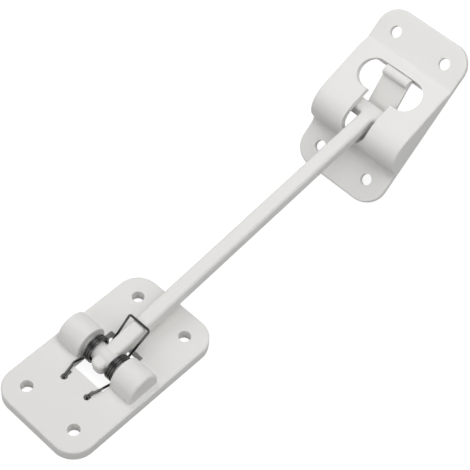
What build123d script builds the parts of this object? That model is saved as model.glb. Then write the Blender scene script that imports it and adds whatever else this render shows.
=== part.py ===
"""Door retainer catch: a sprung T-ended arm on a screw-down pivot base, caught in a hooded receiver.

Frame: X runs from the base towards the receiver, and Z points away from the surface that the base
is screwed to. The origin is the centre of the base's screw pattern, on its underside. The receiver
hangs on the arm's T-bar and leans with its lower back edge on that same surface.
"""
import os
from math import acos, asin, atan2, cos, hypot, pi, radians, sin, tan

from build123d import *

# Screw plates: the base and the receiver share one outline and one screw pattern
PLATE_LENGTH = 76.2
PLATE_WIDTH = 44.45
HOLE_SPACING_X = 57.15
HOLE_SPACING_Y = 25.4
HOLE_DIAMETER = 5.0
CORNER_RADIUS = 9.5
EDGE_SOFTENING = 0.8

# Catch arm
ARM_LENGTH = 152.4
ARM_ELEVATION = 7.8
BAR_SIZE = 6.35
BAR_ROUND = 1.5
HUB_FLOOR_CLEARANCE = 0.4
HUB_END_ROUND = 2.8
TRUNNION_RADIUS = 3.8
TRUNNION_END_ROUND = 0.6
TBAR_LENGTH = 28.6
TBAR_END_ROUND = 1.8
TBAR_NECK_FILLET = 1.6

# Pivot base
BASE_THICKNESS = 4.8
KNUCKLE_WALL = 3.3
KNUCKLE_EDGE_MARGIN = 2.4
KNUCKLE_LEDGE = 0.1
KNUCKLE_END_ROUND = 1.0
KNUCKLE_INNER_ROUND = 0.5
SADDLE_END_WALL = 2.4
TRUNNION_CLEARANCE = 0.08
TRUNNION_END_PLAY = 0.2
WINDOW_LENGTH = 20.8
WINDOW_CORNER = 0.5
WINDOW_SIDE_CLEARANCE = 0.3
ARM_STOP_GAP = 0.15
LEG_HOLE_X = -16.0
LEG_HOLE_Y = 6.2
LEG_HOLE_DIAMETER = 2.8
LEG_NOTCH_LENGTH = 3.4
LEG_NOTCH_WIDTH = 1.5

# Torsion spring
WIRE_DIAMETER = 1.0
COIL_BORE_CLEARANCE = 0.95
COIL_TURNS = 3
COIL_TURN_GAP = 0.04
COIL_SIDE_GAP = 0.6
WIRE_REST_GAP = 0.12
BAIL_REACH = 17.6
BAIL_WIDTH = 10.4
BAIL_CORNER_RADIUS = 0.9
LEG_BEND_RADIUS = 1.2
LEG_LIFT_GAP = 0.9
LEG_END_DEPTH = 3.4

# Receiver
FLANGE_THICKNESS = 2.6
HOOD_HEIGHT = 12.7
HOOD_NOSE_X = -9.2
HOOD_NOSE_RADIUS = 10.3
HOOD_RAMP_ANGLE = 22.3
HOOD_KNEE_X = 15.6
HOOD_KNEE_ROUND = 9.0
HOOD_FOOT_X = 20.6
HOOD_FOOT_FILLET = 2.5
HOOD_FRONT_FILLET = 4.0
HOOD_WALL = 3.2
EAR_SEAT_RADIUS = 8.6
LOBE_X = 9.7
LOBE_CLEARANCE = 2.8
TBAR_PASS_CLEARANCE = 1.1
SLOT_SIDE_CLEARANCE = 3.1
SLOT_END_X = -18.4
SLOT_FLOOR = 5.0
TONGUE_WIDTH = 12.6
TONGUE_THICKNESS = 1.7
TONGUE_BEND_X = -1.5
TONGUE_RISE = 14.0
LIP_RADIUS = 2.2
LIP_GAP = 0.3
SEAT_X = -4.9
SEAT_CLEARANCE = 0.2

# Distance within which an edge counts as lying on a face
PICK_TOLERANCE = 0.01

os.makedirs("parts", exist_ok=True)

# Working frames of the hinge and the arm, whose bar lies on the rear edge of the base's window
across = (0, -1, 0)
elevation = radians(ARM_ELEVATION)
bar_half = BAR_SIZE / 2
stop_x = WINDOW_LENGTH / 2
pivot_z = BASE_THICKNESS + ARM_STOP_GAP + bar_half / cos(elevation) - stop_x * tan(elevation)
pivot = Vector(0, 0, pivot_z)
arm_along = Vector(cos(elevation), 0, sin(elevation))
arm_up = Vector(-sin(elevation), 0, cos(elevation))
pivot_side = Plane(origin=pivot, x_dir=(1, 0, 0), z_dir=across)
arm_side = Plane(origin=pivot, x_dir=arm_along, z_dir=across)
arm_plan = Plane(origin=pivot, x_dir=arm_along, z_dir=arm_up)
hub_reach = pivot.Z - HUB_FLOOR_CLEARANCE
wire_radius = WIRE_DIAMETER / 2

# Spring route: tangent from the leg's lift point on to the coil, round it, and off to the bail
coil_radius = TRUNNION_RADIUS + COIL_BORE_CLEARANCE + wire_radius
coil_pitch = WIRE_DIAMETER + COIL_TURN_GAP
bail_height = bar_half + WIRE_REST_GAP + wire_radius
bail_point = arm_side.from_local_coords(Vector(BAIL_REACH, bail_height, 0)) - pivot
leg_x = LEG_LIFT_GAP - stop_x
leg_z = BASE_THICKNESS + WIRE_REST_GAP + wire_radius - pivot.Z
bail_distance = hypot(bail_point.X, bail_point.Z)
leg_distance = hypot(leg_x, leg_z)
coil_start = atan2(leg_z, leg_x) + acos(coil_radius / leg_distance)
coil_end = atan2(bail_point.Z, bail_point.X) - acos(coil_radius / bail_distance)
coil_length = coil_pitch * (COIL_TURNS + (coil_end - coil_start) / (2 * pi))
coil_outer_y = bar_half + COIL_SIDE_GAP + wire_radius + coil_length
coil_frame = Plane(
    origin=(0, coil_outer_y, pivot.Z), x_dir=(cos(coil_start), 0, sin(coil_start)), z_dir=across
)
coil = coil_frame.location * Helix(coil_pitch, coil_length, coil_radius)
lead = cos(atan2(coil_pitch, 2 * pi * coil_radius))
leg_lift = coil @ 0 - (coil % 0) * ((leg_distance**2 - coil_radius**2) ** 0.5 / lead)
bail_corner = pivot + bail_point + Vector(0, BAIL_WIDTH / 2, 0)

# Fits between the arm, the spring and the base
window_width = 2 * (leg_lift.Y + wire_radius + WINDOW_SIDE_CLEARANCE)
knuckle_inner_y = window_width / 2 + KNUCKLE_LEDGE
knuckle_outer_y = PLATE_WIDTH / 2 - KNUCKLE_EDGE_MARGIN
saddle_radius = TRUNNION_RADIUS + TRUNNION_CLEARANCE
saddle_end_y = knuckle_outer_y - SADDLE_END_WALL
knuckle_radius = saddle_radius + KNUCKLE_WALL

# The receiver turns on the square T-bar, which needs room for its corners, and leans until its lower
# back edge meets the surface under the base
tbar_radius = (bar_half - BAR_ROUND) * 2**0.5 + BAR_ROUND
tbar_centre = arm_side.from_local_coords(Vector(ARM_LENGTH, 0, 0))
tongue_top = TONGUE_THICKNESS - FLANGE_THICKNESS
seat_z = tongue_top + SEAT_CLEARANCE + tbar_radius
edge_to_seat_x = PLATE_LENGTH / 2 + SEAT_X
edge_to_seat_z = FLANGE_THICKNESS + seat_z
lean = asin(tbar_centre.Z / hypot(edge_to_seat_x, edge_to_seat_z)) - atan2(edge_to_seat_z, edge_to_seat_x)
lean_x = Vector(cos(lean), 0, sin(lean))
lean_z = Vector(-sin(lean), 0, cos(lean))
receiver_origin = tbar_centre - lean_x * SEAT_X - lean_z * seat_z
receiver_face = Plane(origin=receiver_origin, x_dir=lean_x, z_dir=lean_z)
receiver_side = Plane(origin=receiver_origin, x_dir=lean_x, z_dir=across)
receiver_back = receiver_face.offset(-FLANGE_THICKNESS)

# Pivot base: screw plate with two barrel knuckles, open beneath so the arm snaps in from below
with BuildPart() as base:
    with BuildSketch():
        RectangleRounded(PLATE_LENGTH, PLATE_WIDTH, CORNER_RADIUS)
    extrude(amount=BASE_THICKNESS)
    fillet(base.faces().sort_by(Axis.Z)[-1].edges(), EDGE_SOFTENING)
    for side in (1, -1):
        with BuildSketch(Plane(origin=(0, side * knuckle_inner_y, 0), x_dir=(1, 0, 0), z_dir=across)):
            with BuildLine():
                rear = Line((knuckle_radius, BASE_THICKNESS / 2), (knuckle_radius, pivot.Z))
                crown = RadiusArc(rear @ 1, (-knuckle_radius, pivot.Z), -knuckle_radius)
                Polyline(crown @ 1, (-knuckle_radius, BASE_THICKNESS / 2), rear @ 0)
            make_face()
        extrude(amount=side * (knuckle_inner_y - knuckle_outer_y))
    knuckle_ends = base.faces().filter_by(Axis.Y).filter_by(lambda f: f.center().Z > BASE_THICKNESS)
    knuckle_ends = knuckle_ends.sort_by(Axis.Y)
    for end, rounding in zip(
        knuckle_ends,
        (KNUCKLE_END_ROUND, KNUCKLE_INNER_ROUND, KNUCKLE_INNER_ROUND, KNUCKLE_END_ROUND),
    ):
        fillet(end.edges().filter_by(lambda e: e.center().Z > BASE_THICKNESS + PICK_TOLERANCE), rounding)
    with BuildSketch(pivot_side):
        Circle(saddle_radius)
        with Locations((0, -pivot.Z / 2)):
            Rectangle(2 * saddle_radius, pivot.Z)
    extrude(amount=saddle_end_y, both=True, mode=Mode.SUBTRACT)
    with BuildSketch():
        RectangleRounded(WINDOW_LENGTH, window_width, WINDOW_CORNER)
        with GridLocations(HOLE_SPACING_X, HOLE_SPACING_Y, 2, 2):
            Circle(HOLE_DIAMETER / 2)
        for side in (1, -1):
            with Locations((LEG_HOLE_X, side * LEG_HOLE_Y)):
                Circle(LEG_HOLE_DIAMETER / 2)
            with Locations((LEG_HOLE_X + LEG_NOTCH_LENGTH / 2, side * LEG_HOLE_Y)):
                Rectangle(LEG_NOTCH_LENGTH, LEG_NOTCH_WIDTH)
    extrude(amount=BASE_THICKNESS, mode=Mode.SUBTRACT)
base.part.label = "pivot_base"
export_step(base.part, "parts/pivot_base.step")

# Catch arm: one moulding of a rounded square bar that ends in a T, with two trunnions
with BuildPart() as arm:
    with BuildSketch(arm_plan) as plan:
        with Locations(((ARM_LENGTH - hub_reach) / 2, 0)):
            Rectangle(ARM_LENGTH + hub_reach, BAR_SIZE)
        with Locations((ARM_LENGTH, 0)):
            Rectangle(BAR_SIZE, TBAR_LENGTH)
        fillet(plan.vertices().sort_by(Axis.X)[:2], HUB_END_ROUND)
        fillet(plan.vertices().sort_by_distance((ARM_LENGTH, 0))[:2], TBAR_NECK_FILLET)
        fillet(plan.vertices().filter_by(lambda v: abs(v.Y) > BAR_SIZE), TBAR_END_ROUND)
    extrude(amount=bar_half, both=True)
    flats = arm.faces().sort_by(Axis(pivot, arm_up))
    fillet(flats[0].edges() + flats[-1].edges(), BAR_ROUND)
    with BuildSketch(arm_side):
        Circle(TRUNNION_RADIUS)
    extrude(amount=saddle_end_y - TRUNNION_END_PLAY, both=True)
    trunnion_ends = arm.faces().filter_by(Axis.Y).filter_by(lambda f: abs(f.center().X) < TRUNNION_RADIUS)
    fillet(trunnion_ends.filter_by(lambda f: abs(f.center().Y) > BAR_SIZE).edges(), TRUNNION_END_ROUND)
arm.part.label = "catch_arm"
export_step(arm.part, "parts/catch_arm.step")

# Torsion spring: one wire with a coil on each trunnion, a bail over the arm and two legs to the plate
with BuildPart() as spring:
    with BuildLine() as wire:
        FilletPolyline(
            (LEG_HOLE_X, LEG_HOLE_Y, BASE_THICKNESS - LEG_END_DEPTH),
            (LEG_HOLE_X, LEG_HOLE_Y, leg_lift.Z),
            leg_lift,
            coil @ 0,
            radius=LEG_BEND_RADIUS,
        )
        add(coil)
        FilletPolyline(coil @ 1, bail_corner, (bail_corner.X, 0, bail_corner.Z), radius=BAIL_CORNER_RADIUS)
    with BuildSketch(Plane(origin=wire.line @ 0, z_dir=wire.line % 0)):
        Circle(wire_radius)
    sweep()
    mirror(about=Plane.XZ)
spring.part.label = "torsion_spring"
export_step(spring.part, "parts/torsion_spring.step")

# Receiver: flanged plate with a hollow hood, a bone-shaped opening and an integral spring tongue
ramp = radians(HOOD_RAMP_ANGLE)
nose_z = HOOD_HEIGHT - HOOD_NOSE_RADIUS
nose_front_x = HOOD_NOSE_X - HOOD_NOSE_RADIUS
ramp_top = Vector(HOOD_NOSE_X + HOOD_NOSE_RADIUS * sin(ramp), nose_z + HOOD_NOSE_RADIUS * cos(ramp))
knee = Vector(HOOD_KNEE_X, ramp_top.Y - (HOOD_KNEE_X - ramp_top.X) * tan(ramp))
lobe_radius = tbar_radius + LOBE_CLEARANCE
lobe_y = TBAR_LENGTH / 2 + TBAR_PASS_CLEARANCE - lobe_radius
slot_width = BAR_SIZE + 2 * SLOT_SIDE_CLEARANCE
slot_length = LOBE_X - SLOT_END_X
tongue_tip_x = LOBE_X + lobe_radius - LIP_GAP
lip_x = tongue_tip_x - LIP_RADIUS
rise = radians(TONGUE_RISE)
tip_z = tongue_top + (tongue_tip_x - TONGUE_BEND_X) * tan(rise)
lip_z = tongue_top + (lip_x - TONGUE_BEND_X) * tan(rise)
tongue_drop = TONGUE_THICKNESS / cos(rise)
bend_back_x = TONGUE_BEND_X + TONGUE_THICKNESS * tan(rise / 2)


def hood_outline(bottom):
    """Side outline of the hood in the receiver's side plane, closed at the given height."""
    nose = RadiusArc((nose_front_x, nose_z), ramp_top, HOOD_NOSE_RADIUS)
    Polyline(nose @ 1, knee, (HOOD_FOOT_X, 0), (HOOD_FOOT_X, bottom), (nose_front_x, bottom), nose @ 0)


def on_receiver(shape):
    """Centre of a shape in the receiver's own frame, with Z = 0 on the flange's face."""
    return receiver_face.to_local_coords(shape.center())


with BuildPart() as receiver:
    with BuildSketch(receiver_back):
        RectangleRounded(PLATE_LENGTH, PLATE_WIDTH, CORNER_RADIUS)
    extrude(amount=FLANGE_THICKNESS)
    with BuildSketch(receiver_side) as hood_side:
        with BuildLine():
            hood_outline(-FLANGE_THICKNESS)
        make_face()
        fillet(hood_side.vertices().sort_by_distance(knee)[0], HOOD_KNEE_ROUND)
    extrude(amount=PLATE_WIDTH / 2, both=True)
    # The hood meets the flange in a soft crease at the front and at the foot
    for end, radius in ((0, HOOD_FRONT_FILLET), (-1, HOOD_FOOT_FILLET)):
        creases = receiver.edges().filter_by(Axis.Y)
        creases = creases.filter_by(lambda e: abs(on_receiver(e).Z) < PICK_TOLERANCE)
        creases = creases.filter_by(lambda e: e.length > PLATE_WIDTH - PICK_TOLERANCE)
        fillet(creases.sort_by(Axis.X)[end], radius)
    # Every outer edge on the front is softened, along both sides and round both ends
    sides = receiver.faces().filter_by(Axis.Y)
    side_rims = sides.edges().filter_by(lambda e: on_receiver(e).Z > -FLANGE_THICKNESS / 2)
    flat_rims = receiver.edges().filter_by(lambda e: abs(on_receiver(e).Z) < PICK_TOLERANCE)
    end_rims = flat_rims.filter_by(lambda e: abs(on_receiver(e).X) > PLATE_LENGTH / 2 - CORNER_RADIUS)
    fillet(side_rims + end_rims, EDGE_SOFTENING)
    # Round seats clear the two front screw heads
    with BuildSketch(receiver_face):
        with Locations(*((-HOLE_SPACING_X / 2, side * HOLE_SPACING_Y / 2) for side in (1, -1))):
            Circle(EAR_SEAT_RADIUS)
    extrude(amount=HOOD_HEIGHT, mode=Mode.SUBTRACT)
    # The hood is hollow and open at the back
    with BuildSketch(receiver_side):
        with BuildLine():
            hood_outline(-FLANGE_THICKNESS - 2 * HOOD_WALL)
        make_face()
        offset(amount=-HOOD_WALL, kind=Kind.INTERSECTION)
    extrude(amount=PLATE_WIDTH / 2 - HOOD_WALL, both=True, mode=Mode.SUBTRACT)
    # The T-bar enters through the two lobes, then the rod slides down the slot
    with BuildSketch(receiver_face):
        with Locations((LOBE_X, lobe_y), (LOBE_X, -lobe_y)):
            Circle(lobe_radius)
        with Locations((LOBE_X, 0)):
            Rectangle(2 * lobe_radius, 2 * lobe_y)
    extrude(amount=HOOD_HEIGHT, mode=Mode.SUBTRACT)
    with BuildSketch(receiver_face.offset(SLOT_FLOOR)):
        with Locations(((LOBE_X + SLOT_END_X) / 2, 0)):
            SlotOverall(slot_length, slot_width)
    extrude(amount=HOOD_HEIGHT, mode=Mode.SUBTRACT)
    # The tongue is rooted in the hood's front wall and ends in a rounded lip behind the opening
    with BuildSketch(receiver_side):
        with BuildLine():
            Polyline(
                (nose_front_x + HOOD_WALL / 2, -FLANGE_THICKNESS),
                (nose_front_x + HOOD_WALL / 2, tongue_top),
                (TONGUE_BEND_X, tongue_top),
                (tongue_tip_x, tip_z),
                (tongue_tip_x, tip_z - tongue_drop),
                (bend_back_x, -FLANGE_THICKNESS),
                close=True,
            )
        make_face()
        with Locations((lip_x, lip_z)):
            Circle(LIP_RADIUS)
    extrude(amount=TONGUE_WIDTH / 2, both=True)
    with BuildSketch(receiver_back):
        with GridLocations(HOLE_SPACING_X, HOLE_SPACING_Y, 2, 2):
            Circle(HOLE_DIAMETER / 2)
    extrude(amount=FLANGE_THICKNESS, mode=Mode.SUBTRACT)
receiver.part.label = "receiver"
export_step(receiver.part, "parts/receiver.step")
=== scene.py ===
"""Door retainer catch on a white floor before a white backdrop, seen from the photograph's angle."""

from math import acos, atan2, cos, hypot, pi, radians, sin, tan

import bpy
from mathutils import Matrix, Vector


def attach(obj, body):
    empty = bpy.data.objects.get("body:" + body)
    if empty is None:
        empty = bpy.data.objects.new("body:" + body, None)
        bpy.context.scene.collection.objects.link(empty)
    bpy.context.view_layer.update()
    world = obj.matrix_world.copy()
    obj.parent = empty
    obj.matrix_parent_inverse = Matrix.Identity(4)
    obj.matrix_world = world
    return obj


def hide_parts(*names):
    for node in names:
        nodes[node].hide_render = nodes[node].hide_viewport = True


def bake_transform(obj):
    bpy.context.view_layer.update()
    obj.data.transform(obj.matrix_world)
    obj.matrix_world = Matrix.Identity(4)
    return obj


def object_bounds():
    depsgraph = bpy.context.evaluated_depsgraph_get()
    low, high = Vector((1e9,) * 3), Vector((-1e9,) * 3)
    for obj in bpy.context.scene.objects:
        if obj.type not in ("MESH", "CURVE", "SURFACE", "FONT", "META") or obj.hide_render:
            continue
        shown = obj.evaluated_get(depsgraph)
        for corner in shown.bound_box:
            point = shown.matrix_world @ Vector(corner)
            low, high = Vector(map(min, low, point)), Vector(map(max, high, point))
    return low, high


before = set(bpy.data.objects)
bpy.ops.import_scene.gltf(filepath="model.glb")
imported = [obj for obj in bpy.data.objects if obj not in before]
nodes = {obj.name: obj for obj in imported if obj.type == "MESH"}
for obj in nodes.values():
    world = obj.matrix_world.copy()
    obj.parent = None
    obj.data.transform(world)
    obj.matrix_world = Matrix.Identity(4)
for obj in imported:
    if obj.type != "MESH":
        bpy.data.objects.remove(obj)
cad_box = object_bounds()
scene = bpy.context.scene
MM = 0.001

# Sizes of the spring and the arm, in millimetres, as in the part's source
PLATE_TOP = 4.8
ARM_ELEVATION = radians(7.8)
ARM_STOP_X = 10.4
ARM_STOP_GAP = 0.15
BAR_HALF = 3.175
WIRE_RADIUS = 0.5
COIL_RADIUS = 5.25
COIL_PITCH = 1.04
COIL_TURNS = 3
COIL_INNER_Y = 4.275
WIRE_REST_GAP = 0.12
BAIL_REACH = 17.6
BAIL_HALF_WIDTH = 5.2
BAIL_CORNER_RADIUS = 0.9
LEG_LIFT_X = -9.5
LEG_BEND_RADIUS = 1.2
LEG_HOLE = (-16.0, 6.2)
LEG_END_HEIGHT = 1.4
STOP_TO_AXIS = BAR_HALF / cos(ARM_ELEVATION) - ARM_STOP_X * tan(ARM_ELEVATION)
PIVOT_HEIGHT = PLATE_TOP + ARM_STOP_GAP + STOP_TO_AXIS

# Fineness of the wire's mesh
WIRE_SIDES = 20
COIL_STEPS = 220
BEND_STEP = radians(7)
FEWEST_BEND_STEPS = 6

# Finishes
PLASTIC_COLOUR = (0.80, 0.793, 0.773)
PLASTIC_ROUGHNESS = 0.46
PLASTIC_SPECULAR = 0.4
GRAIN_SCALE = 1400
GRAIN_DETAIL = 3
GRAIN_STRENGTH = 0.12
GRAIN_DEPTH = 0.2 * MM
STEEL_COLOUR = (0.09, 0.09, 0.09)
STEEL_ROUGHNESS = 0.18

# Stage and light, in metres
WORLD_LIGHT = 0.32
FLOOR_COLOUR = 0.30
FLOOR_GLOW = 0.88
FLOOR_DROP = 0.02 * MM
STAGE_RADIUS = 3.0
BACKDROP_HEIGHT = 1.6
BACKDROP_SIDES = 96
WHITE_GLOW = 1.0
CATCH_CENTRE = (cad_box[0] + cad_box[1]) / 2
RECEIVER_CENTRE = (0.155, 0, 0.03)

# Camera, fitted to the photograph's outlines
VIEW_FROM = Vector((-0.17855, -0.19209, 0.43518))
VIEW_ALONG = Vector((0.47543, 0.36950, -0.79840))
VIEW_UP = Vector((0.55413, 0.57910, 0.59798))
SENSOR_WIDTH = 36.0
FOCAL_LENGTH = 101.994
CLIP_START = 0.01


# Materials
def new_material(name):
    """Material with its nodes and links."""
    material = bpy.data.materials.new(name)
    material.use_nodes = True
    return material, material.node_tree.nodes, material.node_tree.links


def moulded_plastic(name):
    """Satin moulding with a very fine grain."""
    material, made, links = new_material(name)
    shader = made["Principled BSDF"]
    shader.inputs["Base Color"].default_value = (*PLASTIC_COLOUR, 1)
    shader.inputs["Roughness"].default_value = PLASTIC_ROUGHNESS
    shader.inputs["Specular IOR Level"].default_value = PLASTIC_SPECULAR
    place = made.new("ShaderNodeTexCoord")
    grain = made.new("ShaderNodeTexNoise")
    grain.inputs["Scale"].default_value = GRAIN_SCALE
    grain.inputs["Detail"].default_value = GRAIN_DETAIL
    bump = made.new("ShaderNodeBump")
    bump.inputs["Strength"].default_value = GRAIN_STRENGTH
    bump.inputs["Distance"].default_value = GRAIN_DEPTH
    links.new(place.outputs["Object"], grain.inputs["Vector"])
    links.new(grain.outputs["Fac"], bump.inputs["Height"])
    links.new(bump.outputs["Normal"], shader.inputs["Normal"])
    return material


def drawn_steel(name):
    """Dark spring wire."""
    material, made, _ = new_material(name)
    shader = made["Principled BSDF"]
    shader.inputs["Base Color"].default_value = (*STEEL_COLOUR, 1)
    shader.inputs["Metallic"].default_value = 1
    shader.inputs["Roughness"].default_value = STEEL_ROUGHNESS
    return material


white_plastic = moulded_plastic("white_plastic_satin")
spring_wire = drawn_steel("spring_wire_dark")

for name in ("pivot_base", "catch_arm", "receiver"):
    nodes[name].data.materials.clear()
    nodes[name].data.materials.append(white_plastic)


# Spring wire, in pieces that follow the base or the arm, and coils that are left unattached
def filleted(points, radius):
    """The polyline with each inner corner rounded to the radius."""
    route = [Vector(points[0])]
    for before, corner, after in zip(points, points[1:], points[2:]):
        corner = Vector(corner)
        back = (Vector(before) - corner).normalized()
        ahead = (Vector(after) - corner).normalized()
        turn = pi - back.angle(ahead)
        reach = radius * tan(turn / 2)
        centre = corner + (back + ahead).normalized() * (radius / cos(turn / 2))
        start = corner + back * reach - centre
        axis = back.cross(ahead)
        steps = max(FEWEST_BEND_STEPS, int(turn / BEND_STEP))
        for k in range(steps + 1):
            spin = Matrix.Rotation(-turn * k / steps, 3, axis)
            route.append(centre + spin @ start)
    route.append(Vector(points[-1]))
    return route


def tube(name, route, radius):
    """Closed round tube along a route given in millimetres."""
    points = [Vector(p) * MM for p in route]
    last = len(points) - 1
    tangents = [(points[min(k + 1, last)] - points[max(k - 1, 0)]).normalized() for k in range(last + 1)]
    normal = tangents[0].orthogonal().normalized()
    verts = []
    for k, (point, tangent) in enumerate(zip(points, tangents)):
        if k:
            normal = tangents[k - 1].rotation_difference(tangent) @ normal
        side = tangent.cross(normal)
        for j in range(WIRE_SIDES):
            a = 2 * pi * j / WIRE_SIDES
            verts.append(point + (normal * cos(a) + side * sin(a)) * (radius * MM))
    faces = []
    for ring in range(0, last * WIRE_SIDES, WIRE_SIDES):
        for j in range(WIRE_SIDES):
            i = (j + 1) % WIRE_SIDES
            faces.append((ring + j, ring + i, ring + WIRE_SIDES + i, ring + WIRE_SIDES + j))
    faces.append(tuple(reversed(range(WIRE_SIDES))))
    faces.append(tuple(range(last * WIRE_SIDES, len(verts))))
    mesh = bpy.data.meshes.new(name)
    mesh.from_pydata(verts, [], faces)
    mesh.polygons.foreach_set("use_smooth", [len(f) == 4 for f in faces])
    mesh.materials.append(spring_wire)
    piece = bpy.data.objects.new(name, mesh)
    scene.collection.objects.link(piece)
    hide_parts("torsion_spring")
    return piece


pivot = Vector((0, 0, PIVOT_HEIGHT))
along = Vector((cos(ARM_ELEVATION), 0, sin(ARM_ELEVATION)))
upward = Vector((-sin(ARM_ELEVATION), 0, cos(ARM_ELEVATION)))
bail = along * BAIL_REACH + upward * (BAR_HALF + WIRE_REST_GAP + WIRE_RADIUS)
leg_z = PLATE_TOP + WIRE_REST_GAP + WIRE_RADIUS - PIVOT_HEIGHT
bail_distance = hypot(bail.x, bail.z)
leg_distance = hypot(LEG_LIFT_X, leg_z)
coil_start = atan2(leg_z, LEG_LIFT_X) + acos(COIL_RADIUS / leg_distance)
coil_end = atan2(bail.z, bail.x) - acos(COIL_RADIUS / bail_distance)
coil_turn = 2 * pi * COIL_TURNS + coil_end - coil_start
coil_rise = COIL_PITCH / (2 * pi)
coil_outer_y = COIL_INNER_Y + coil_rise * coil_turn


def on_coil(turn):
    """Point on the left coil's centre line after a turn from its outer end."""
    a = coil_start + turn
    y = coil_outer_y - coil_rise * turn
    return Vector((COIL_RADIUS * cos(a), y, PIVOT_HEIGHT + COIL_RADIUS * sin(a)))


def mirrored(route):
    """The route on the other side of the catch."""
    return [Vector((p.x, -p.y, p.z)) for p in route]


leg_step = Vector((-sin(coil_start), -coil_rise / COIL_RADIUS, cos(coil_start)))
leg_lift = on_coil(0) - leg_step * (leg_distance**2 - COIL_RADIUS**2) ** 0.5
leg_route = filleted(
    [(*LEG_HOLE, LEG_END_HEIGHT), (*LEG_HOLE, leg_lift.z), tuple(leg_lift), tuple(on_coil(0))],
    LEG_BEND_RADIUS,
)
coil_route = [on_coil(coil_turn * k / COIL_STEPS) for k in range(COIL_STEPS + 1)]
bail_corner = pivot + bail + Vector((0, BAIL_HALF_WIDTH, 0))
bail_side = filleted(
    [tuple(on_coil(coil_turn)), tuple(bail_corner), (bail_corner.x, 0, bail_corner.z)],
    BAIL_CORNER_RADIUS,
)
bail_route = bail_side[:-1] + mirrored(bail_side[:-1])[::-1]

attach(tube("spring_bail", bail_route, WIRE_RADIUS), "arm")
for side, sign, turned in (("left", 1, list), ("right", -1, mirrored)):
    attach(tube(f"spring_leg_{side}", turned(leg_route), WIRE_RADIUS), "base")
    coil = tube(f"spring_coil_{side}", turned(coil_route), WIRE_RADIUS)
    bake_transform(coil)


# Floor and backdrop
def background_rays(made, links):
    """Output that is 1 for the rays that show the white background."""
    seen = made.new("ShaderNodeLightPath")
    shown = seen.outputs["Is Camera Ray"]
    for kind in ("Is Glossy Ray", "Is Transmission Ray"):
        either = made.new("ShaderNodeMath")
        either.operation = "MAXIMUM"
        links.new(shown, either.inputs[0])
        links.new(seen.outputs[kind], either.inputs[1])
        shown = either.outputs[0]
    return shown


def stage_material(name, colour, plain_glow, background_glow):
    """Diffuse grey with one glow for the rays that show the background and another for the rest."""
    material, made, links = new_material(name)
    made.remove(made["Principled BSDF"])
    diffuse = made.new("ShaderNodeBsdfDiffuse")
    diffuse.inputs["Color"].default_value = (colour, colour, colour, 1)
    glow = made.new("ShaderNodeEmission")
    level = made.new("ShaderNodeMapRange")
    level.inputs["To Min"].default_value = plain_glow
    level.inputs["To Max"].default_value = background_glow
    both = made.new("ShaderNodeAddShader")
    links.new(background_rays(made, links), level.inputs["Value"])
    links.new(level.outputs["Result"], glow.inputs["Strength"])
    links.new(diffuse.outputs["BSDF"], both.inputs[0])
    links.new(glow.outputs["Emission"], both.inputs[1])
    links.new(both.outputs["Shader"], made["Material Output"].inputs["Surface"])
    return material


bpy.ops.mesh.primitive_plane_add(size=2 * STAGE_RADIUS, location=(0, 0, -FLOOR_DROP))
floor = bpy.context.object
floor.name = "floor"
floor.data.materials.append(stage_material("pale_floor", FLOOR_COLOUR, 0, FLOOR_GLOW))

bpy.ops.mesh.primitive_cylinder_add(
    vertices=BACKDROP_SIDES,
    radius=STAGE_RADIUS,
    depth=BACKDROP_HEIGHT,
    end_fill_type="NOTHING",
    location=(0, 0, BACKDROP_HEIGHT / 2),
)
backdrop = bpy.context.object
backdrop.name = "backdrop"
backdrop.data.materials.append(stage_material("pale_backdrop", 0, WORLD_LIGHT, WHITE_GLOW))

# Light
world = bpy.data.worlds.new("studio")
scene.world = world
world.use_nodes = True
fill = world.node_tree.nodes["Background"]
fill.inputs["Color"].default_value = (1, 1, 1, 1)
fill.inputs["Strength"].default_value = WORLD_LIGHT


def softbox(name, place, target, size, power):
    """Square lamp that faces a target."""
    lamp = bpy.data.lights.new(name, "AREA")
    lamp.size = size
    lamp.energy = power
    holder = bpy.data.objects.new(name, lamp)
    holder.location = place
    holder.rotation_mode = "QUATERNION"
    holder.rotation_quaternion = (Vector(target) - Vector(place)).to_track_quat("-Z", "Y")
    scene.collection.objects.link(holder)


softbox("front", place=(-0.79, 0, 0.53), target=CATCH_CENTRE, size=0.5, power=1.6)
softbox("left", place=(0.10, 0.30, 0.35), target=RECEIVER_CENTRE, size=0.3, power=0.55)
softbox("right", place=(0.05, -0.25, 0.35), target=RECEIVER_CENTRE, size=0.3, power=0.42)
softbox("top", place=(0.15, -0.10, 0.45), target=RECEIVER_CENTRE, size=0.3, power=0.52)

# View
camera = bpy.data.cameras.new("camera")
camera.sensor_width = SENSOR_WIDTH
camera.lens = FOCAL_LENGTH
camera.clip_start = CLIP_START
eye = bpy.data.objects.new("camera", camera)
scene.collection.objects.link(eye)
forward = VIEW_ALONG.normalized()
right = forward.cross(VIEW_UP).normalized()
upright = right.cross(forward)
facing = Matrix((right, upright, -forward)).transposed()
eye.matrix_world = Matrix.Translation(VIEW_FROM) @ facing.to_4x4()
scene.camera = eye

scene.view_settings.view_transform = "Standard"
